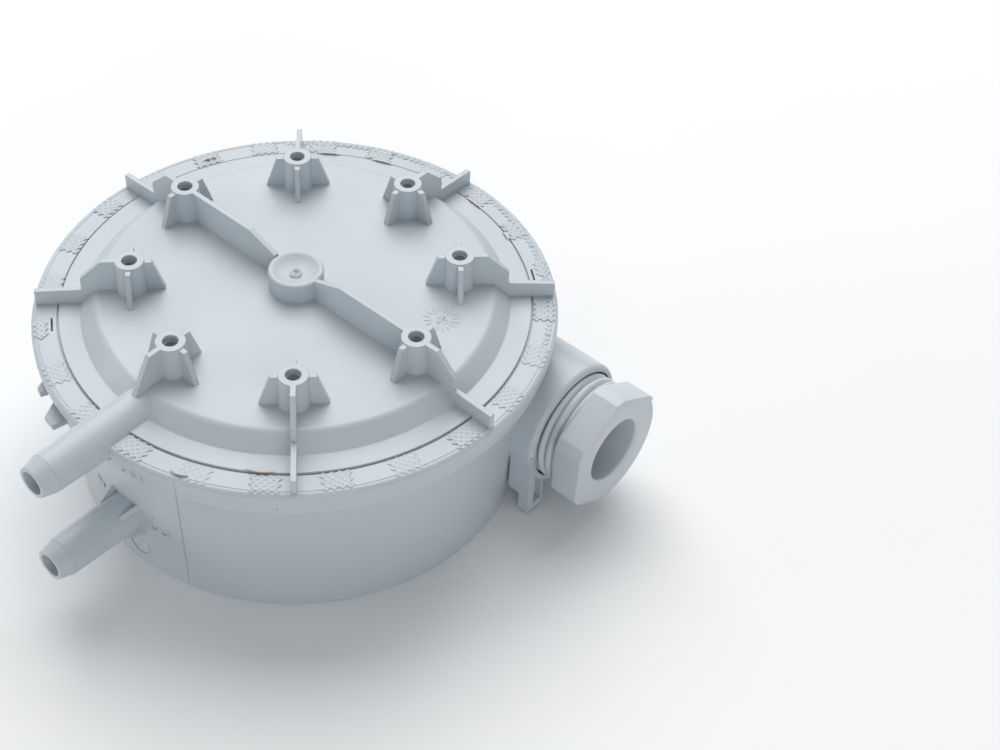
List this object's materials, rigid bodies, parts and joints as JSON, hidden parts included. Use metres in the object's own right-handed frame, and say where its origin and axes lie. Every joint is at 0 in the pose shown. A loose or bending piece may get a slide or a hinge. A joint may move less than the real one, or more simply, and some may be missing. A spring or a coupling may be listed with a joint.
{
  "type": "air pressure switch",
  "caption": "Round grey plastic air pressure switch with a ribbed back cover, screw bosses, two hose nozzles and a cable gland.",
  "frame": {"origin": "centre of the lid's outer face, on the drum's axis in its base plane", "axes": "+Z along the drum's axis towards the ribbed cover, +X out of the cable gland, -Y out of the hose nozzles"},
  "size_m": [0.0924, 0.0966, 0.04],
  "materials": {
    "grey_plastic": "matte",
    "gland_plastic": "matte",
    "rubber": "matte",
    "black_plastic": "matte",
    "white_plastic": "satin",
    "brass": "satin",
    "steel": "satin"
  },
  "bodies": {
    "case": {"back_cover": "grey_plastic", "housing": "grey_plastic", "front_cover": "grey_plastic", "cover_seal": "rubber", "diaphragm": "rubber", "range_spring": "steel", "switch_holder": "white_plastic", "switch_case": "black_plastic", "gland_seal": "rubber", "cover_screw_1": "steel", "cover_screw_2": "steel", "cover_screw_3": "steel", "holder_screw_1": "steel", "holder_screw_2": "steel", "switch_screw_1": "steel", "switch_screw_2": "steel", "terminal_com": "brass", "terminal_no": "brass", "terminal_nc": "brass", "terminal_screw_com": "steel", "terminal_screw_no": "steel", "terminal_screw_nc": "steel"},
    "plunger": {"plunger": "white_plastic", "diaphragm_plate": "white_plastic"},
    "button": {"switch_button": "white_plastic"},
    "dial": {"setting_dial": "white_plastic"},
    "spring_seat": {"spring_seat": "brass"},
    "gland_washer": {"gland_washer": "steel"},
    "gland_screw": {"gland_screw": "gland_plastic"}
  },
  "joints": [
    {"name": "plunger_slide", "type": "slide", "parent": "case", "child": "plunger", "axis": [0, 0, -1], "range_m": [0, 0.0008], "stiffness_N_per_m": 500, "springref_m": -0.0008, "deforming": ["diaphragm", "range_spring"]},
    {"name": "button_slide", "type": "slide", "parent": "case", "child": "button", "axis": [0, 0, -1], "range_m": [0, 0.0008]},
    {"name": "seat_slide", "type": "slide", "parent": "case", "child": "spring_seat", "axis": [0, 0, 1], "range_m": [0, 0.00125], "deforming": ["range_spring"]},
    {"name": "dial_turn", "type": "hinge", "parent": "case", "child": "dial", "pos_m": [0, 0, 0], "axis": [0, 0, 1], "range_deg": [0, 301]},
    {"name": "gland_feed", "type": "slide", "parent": "case", "child": "gland_washer", "axis": [1, 0, 0], "range_m": [-0.0018, 0.006]},
    {"name": "gland_turn", "type": "hinge", "parent": "gland_washer", "child": "gland_screw", "pos_m": [0, 0.0228, 0.0139], "axis": [1, 0, 0], "range_deg": [-433, 1441]}
  ],
  "couplings": [
    {"joint": "button_slide", "follows": "plunger_slide", "ratio": 1},
    {"joint": "dial_turn", "follows": "seat_slide", "rad_per_m": 4188.8},
    {"joint": "gland_turn", "follows": "gland_feed", "rad_per_m": 4188.8}
  ]
}
